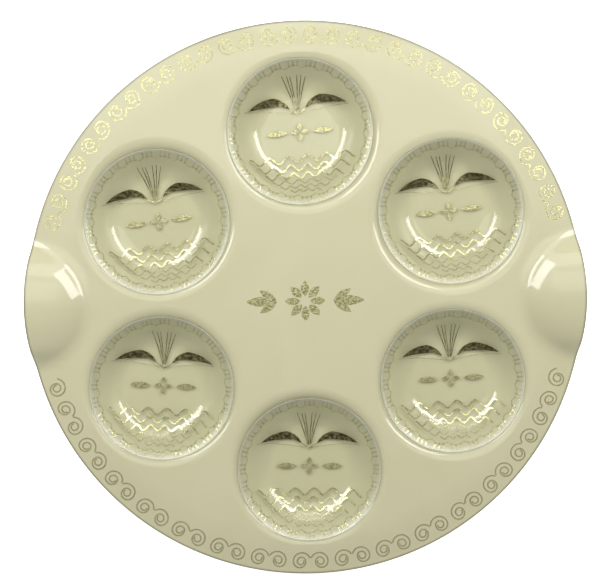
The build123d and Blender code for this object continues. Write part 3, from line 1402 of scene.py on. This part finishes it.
    def fine_tendrils(self) -> list[Points]:
        """Draws the thin tendrils under the leaves.

        Returns:
            Their strips.
        """
        side, height = self.tendril_bow
        strips = []
        for end in self.tendrils:
            path = arc_through(self.base, (side * end[0], height), end, self.tendril_count)
            strips.append(ribbon(path, self.tendril_line))
        return strips

    def marks(self) -> list[Points]:
        """Draws a small flower between two leaves.

        Returns:
            Their strips.
        """
        petal = leaf(*self.mark_petal) + np.array([self.mark_eye, 0.0])
        side = leaf(*self.mark_leaf) + np.array([self.mark_start, 0.0])
        petals = [turned(petal, angle) for angle in (0, 90, 180, 270)]
        return petals + [turned(side, angle) for angle in (0, 180)]

    def wavy_lines(self) -> list[Points]:
        """Draws rows of waves that get shorter towards the rim.

        Returns:
            Their strips.
        """
        strips = []
        for middle, length, half in self.waves:
            strokes = int(4 * math.sqrt(self.wave_reach**2 - middle**2) / length)
            end = strokes * length / 4
            x = np.linspace(-end, end, strokes * self.wave_count + 1)
            swing = np.cos(2 * math.pi * (x - x[0]) / length)
            path = np.stack([x, middle + half * swing], axis=-1)
            strips.append(ribbon(path, self.wave_line))
        return strips

    def lace(self) -> list[Points]:
        """Draws scallops with short rays, round the dish.

        Returns:
            Their strips.
        """
        pitch = 360 / self.scallops
        angles = np.radians(np.linspace(-pitch / 2, pitch / 2, self.scallop_count))
        swell = np.cos(angles / angles[-1] * math.pi / 2)
        radius = self.scallop_tip + (self.scallop_crest - self.scallop_tip) * swell
        path = np.stack([radius * np.cos(angles), radius * np.sin(angles)], axis=-1)
        arch = ribbon(path, self.scallop_line)
        start, end = (self.scallop_tip + self.ray_start, 0.0), (self.ray_end, 0.0)
        ray = ribbon(np.linspace(start, end, self.ray_count), self.ray_line)
        strips = []
        for number in range(self.scallops):
            strips.append(turned(arch, pitch * number))
            for place in range(self.rays):
                offset = pitch * (place - (self.rays - 1) / 2) / (self.rays + 1)
                strips.append(turned(ray, pitch * number + offset))
        return strips

    def build(self, material: bpy.types.Material) -> None:
        """Makes the ornament.

        Args:
            material: Its material.
        """
        sheet = FoilSheet(f"{self.dish.name}_foil", self.dish.name, self.dish.inside())
        waves = self.wavy_lines()
        full = self.stems() + self.marks() + waves[: self.full_waves]
        faint = self.fine_tendrils() + waves[self.full_waves :]
        # Leaves, blades, faint lines and lace are darkened for their hatched look and with painted shade.
        layers = (
            (self.leaves(), 1.0, self.leaf_hatch_and_shade),
            (self.uprights(), 1.0, self.blade_hatch_and_shade),
            (full, 1.0, 0.0),
            (faint, self.faint_cover, self.faint_hatch_and_shade),
            (self.lace(), self.lace_cover, self.lace_hatch_and_shade),
        )
        for strips, cover, hatch_and_shade in layers:
            sheet.add(*[self.dish.to_frame(strip) for strip in strips], cover=cover, hatch_and_shade=hatch_and_shade)
        sheet.build(material)


@dataclass(frozen=True)
class Softbox:
    """Long rectangular studio light.

    Attributes:
        name: Its name.
        near: Middle of its one end, in mm.
        far: Middle of its other end, in mm.
        width: Its width, in mm.
        radiance: Its brightness, where white paper in full light is 1.
    """

    name: str
    near: Triple
    far: Triple
    width: float
    radiance: float

    def build(self) -> None:
        """Makes the light, facing the plate's middle."""
        near, far = Vector(self.near) * MM, Vector(self.far) * MM
        data = bpy.data.lights.new(self.name, "AREA")
        data.shape = "RECTANGLE"
        data.size, data.size_y = self.width * MM, (far - near).length
        data.energy = self.radiance * math.pi * data.size * data.size_y
        made = bpy.data.objects.new(self.name, data)
        middle = (near + far) / 2
        along = (far - near).normalized()
        across = along.cross(middle).normalized()
        out = across.cross(along)
        turn = Matrix((across, along, out)).transposed().to_4x4()
        made.matrix_world = Matrix.Translation(middle) @ turn
        bpy.context.scene.collection.objects.link(made)
        log.info("light %s of %.1f W", self.name, data.energy)


@dataclass
class Studio:
    """Floor, lights and camera.

    Attributes:
        distance: Distance of the camera from the plate, in mm.
        tilt: Lean of the camera towards the top of the plate, in degrees.
        roll: Turn of the plate in the photo, in degrees.
        pixel: Size of a photo pixel on the plate, in mm.
        centre: Photo pixel of the plate's middle.
        sensor: Width of the camera's sensor, in mm.
        clip: Nearest and farthest distance that the camera sees, in m.
        floor_size: Side of the floor, in mm.
        floor_drop: Drop of the floor below the plate, in mm.
        room: Light of the room from the near and from the far side of the plate.
        room_turn: Directions along Y between which the one turns into the other.
        lights: The studio's lights.
    """

    distance: float = 900.0
    tilt: float = 4.5
    roll: float = 1.2
    pixel: float = 0.5475
    centre: Pair = (305.3, 301.0)
    sensor: float = 36.0
    clip: Pair = (0.01, 100.0)
    floor_size: float = 6000.0
    floor_drop: float = 0.2
    room: tuple[Colour, Colour] = ((0.33, 0.33, 0.33, 1.0), (0.42, 0.42, 0.42, 1.0))
    room_turn: Pair = (-0.9, 0.35)
    lights: tuple[Softbox, ...] = (
        Softbox("right_softbox", (285, 570, 600), (617, 95, 600), 190, 7.0),
        Softbox("left_softbox", (-285, 570, 600), (-617, 95, 600), 190, 7.0),
        Softbox("top_panel", (-450, 260, 1000), (450, 260, 1000), 420, 1.0),
        Softbox("back_panel", (-200, 430, 430), (200, 430, 430), 260, 1.5),
    )

    def floor(self, material: bpy.types.Material) -> None:
        """Lays the floor.

        Args:
            material: Its material.
        """
        half = self.floor_size / 2
        plan = ((-half, -half), (half, -half), (half, half), (-half, half))
        corners = np.array([(x, y, -self.floor_drop) for x, y in plan])
        sweep = mesh_object("floor", corners, [[0, 1, 2, 3]])
        sweep.data.materials.append(material)

    def world(self) -> None:
        """Sets the room's light, which is brighter on the far side of the plate."""
        world = bpy.data.worlds.new("studio")
        recipe = Recipe(world)
        way = recipe.node("ShaderNodeTexCoord", output="Generated")
        side = recipe.node("ShaderNodeSeparateXYZ", None, {"Vector": way}, "Y")
        colour = recipe.mix(side.between(*self.room_turn), *self.room)
        light = recipe.node("ShaderNodeBackground", None, {"Color": colour})
        recipe.close(light, "ShaderNodeOutputWorld")
        bpy.context.scene.world = world

    def camera(self, level: float) -> None:
        """Sets the camera over the plate.

        Args:
            level: Height of the plate's deck, in mm.
        """
        data = bpy.data.cameras.new("camera")
        data.sensor_width = self.sensor
        data.lens = data.sensor_width * self.distance / (PHOTO_WIDTH * self.pixel)
        made = bpy.data.objects.new("camera", data)
        lean = math.radians(self.tilt)
        back = Vector((0.0, math.sin(lean), math.cos(lean)))
        right, up = Vector((1, 0, 0)), Vector((0, math.cos(lean), -math.sin(lean)))
        spin = Matrix.Rotation(math.radians(-self.roll), 3, back)
        right, up = spin @ right, spin @ up
        shift_x = (PHOTO_WIDTH / 2 - self.centre[0]) * self.pixel
        shift_y = (self.centre[1] - PHOTO_HEIGHT / 2) * self.pixel
        target = Vector((0, 0, level)) + right * shift_x + up * shift_y
        turn = Matrix((right, up, back)).transposed().to_4x4()
        made.matrix_world = Matrix.Translation((target + back * self.distance) * MM) @ turn
        data.clip_start, data.clip_end = self.clip
        bpy.context.scene.collection.objects.link(made)
        bpy.context.scene.camera = made

    def build(self, level: float) -> None:
        """Makes the whole studio.

        Args:
            level: Height of the plate's deck, in mm.
        """
        self.floor(PaleFloor().material())
        self.world()
        for light in self.lights:
            light.build()
        self.camera(level)
        bpy.context.scene.view_settings.view_transform = "Standard"


def main() -> None:
    """Builds the plate, its dishes, their foil and the studio."""
    logging.basicConfig(level=logging.INFO)
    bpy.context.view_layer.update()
    pearl, clear, gold = PearlPlastic().material(), ClearPlastic().material(), GoldFoil().material()
    plate = Plate()
    plate.build(pearl)
    RimScrolls(plate).build(gold)
    CentreOrnament(plate).build(gold)
    for name, turn in DISH_TURNS.items():
        dish = Dish(name, turn)
        dish.build(clear)
        DishOrnament(dish).build(gold)
    Studio().build(plate.deck)


if __name__ == "__main__":
    main()
